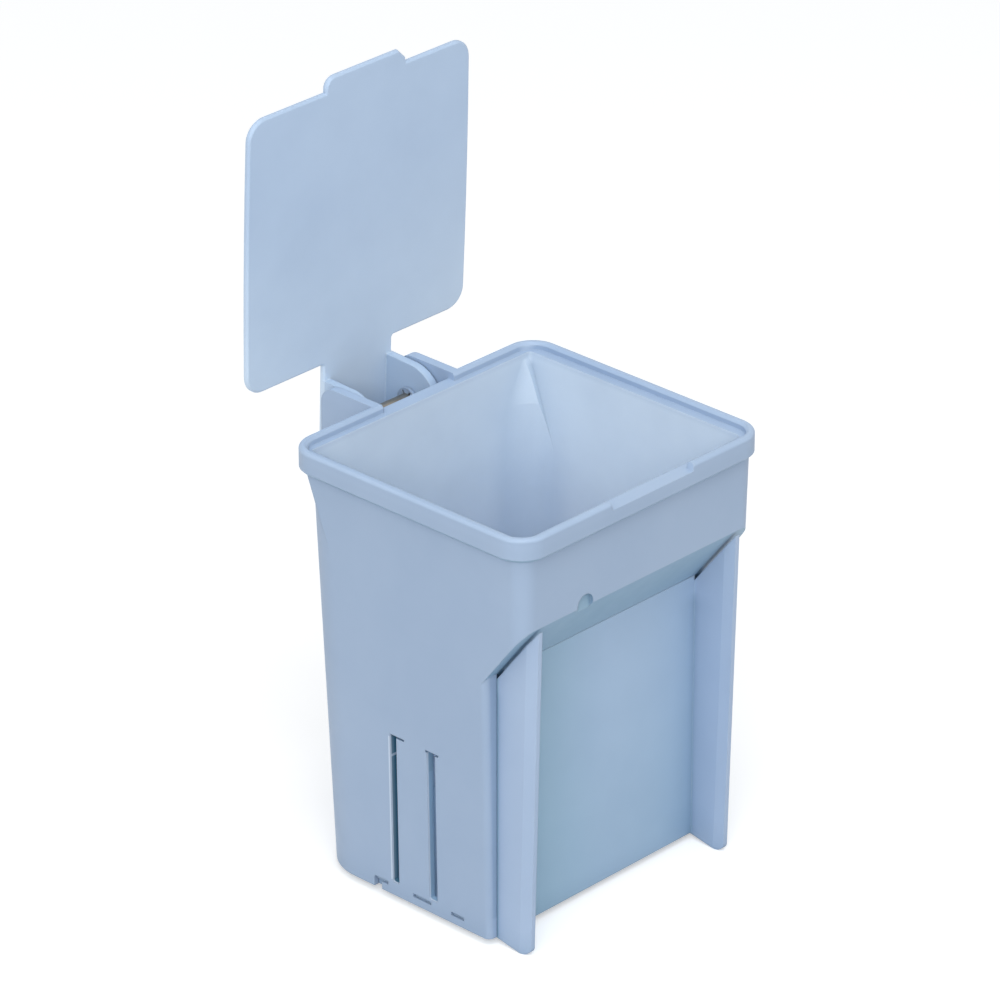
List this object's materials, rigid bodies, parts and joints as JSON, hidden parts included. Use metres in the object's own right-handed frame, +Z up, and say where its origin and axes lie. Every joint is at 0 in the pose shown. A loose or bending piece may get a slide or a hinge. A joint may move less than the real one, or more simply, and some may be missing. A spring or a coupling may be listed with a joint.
{
  "type": "dog waste bin",
  "caption": "Small open-topped moulded waste bin: tapering shell, front recess between two fins, strap slots in the sides, snap-in base, and a lid hinged on a pin behind the rim.",
  "frame": {"origin": "on the ground, under the centre of the mouth", "axes": "+Z up; +X to the right seen from the front; the front, with the recess and its fins, faces -Y, and the hinge is at +Y"},
  "size_m": [0.1012, 0.1163, 0.2297],
  "materials": {
    "shell_plastic": "satin moulded pale blue",
    "frame_plastic": "satin moulded pale blue",
    "base_plastic": "satin moulded pale blue",
    "lid_plastic": "satin moulded pale blue",
    "pin_steel": "drawn steel",
    "retainer_steel": "dull spring steel"
  },
  "bodies": {
    "bin": {"bin_body": "shell_plastic", "front_frame": "frame_plastic", "base_plate": "base_plastic", "hinge_pin": "pin_steel", "pin_retainer": "retainer_steel"},
    "lid": {"lid": "lid_plastic"}
  },
  "joints": [
    {"name": "lid_hinge", "type": "hinge", "parent": "bin", "child": "lid", "pos_m": [0, 0.0584, 0.1236], "axis": [1, 0, 0], "range_deg": [0, 88]}
  ]
}
